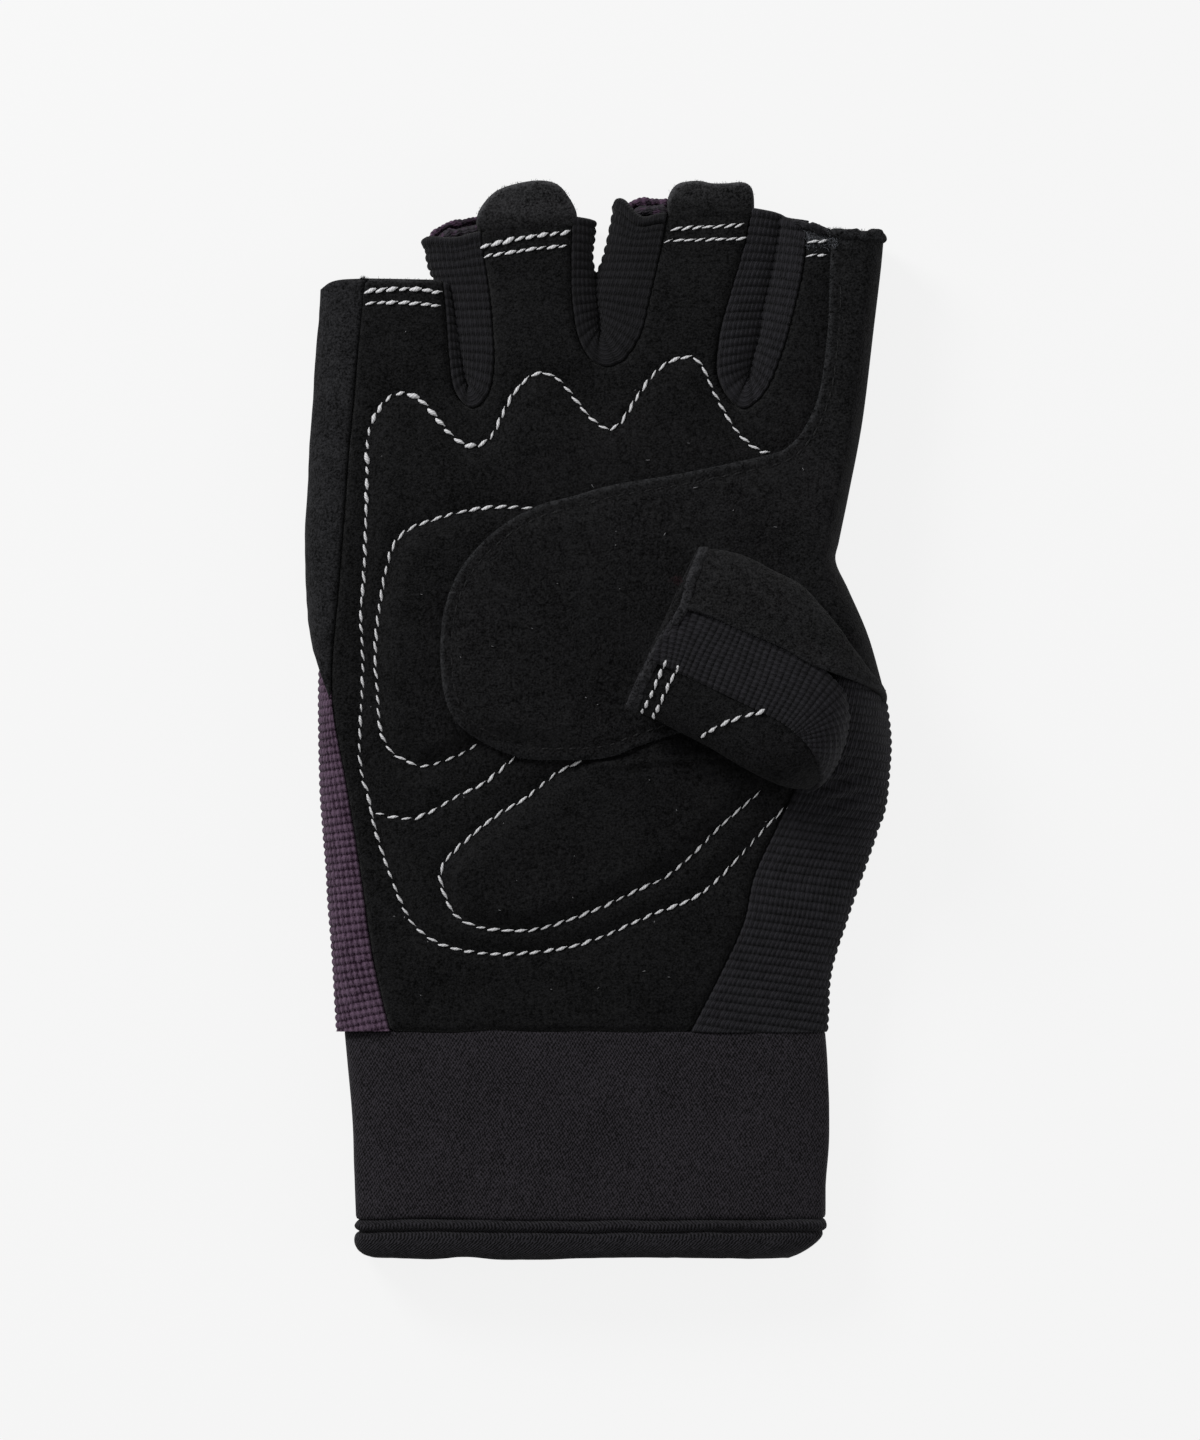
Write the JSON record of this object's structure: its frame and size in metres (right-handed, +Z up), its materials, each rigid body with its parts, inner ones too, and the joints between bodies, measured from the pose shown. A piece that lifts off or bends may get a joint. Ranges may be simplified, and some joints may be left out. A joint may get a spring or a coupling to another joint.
{
  "type": "climbing glove",
  "caption": "Half-finger suede and rib knit climbing glove for the right hand, padded palm up, thumb stall folded over the palm, stretch cuff.",
  "frame": {"origin": "on the resting plane under the back of the hand, at the middle of the glove's length and width", "axes": "+Y towards the fingertips, +X towards the thumb side, +Z up out of the palm"},
  "size_m": [0.1028, 0.1885, 0.0281],
  "materials": {
    "suede": "black suede with a short matt nap",
    "rib_knit": "black rib knit, matt with a faint sheen on its ribs",
    "purple_knit": "dark purple rib knit, matt",
    "cuff_knit": "smooth fine stretch knit, charcoal black, soft sheen",
    "stitch_thread": "off-white twisted sewing thread",
    "edge_thread": "black sewing thread, slightly glossy"
  },
  "bodies": {
    "root": {"palm_panel": "suede", "palm_overlay": "suede", "little_side_panel": "suede", "thumb_side_panel": "rib_knit", "back_panel": "purple_knit", "fourchette_little_ring": "rib_knit", "fourchette_ring_middle": "rib_knit", "fourchette_middle_index": "rib_knit", "thumb_back": "suede", "thumb_gusset": "rib_knit", "thumb_palm": "suede", "cuff": "cuff_knit", "cuff_piping": "cuff_knit", "cuff_hem": "cuff_knit", "ring_tab": "suede", "middle_tab": "suede"}
  },
  "joints": []
}
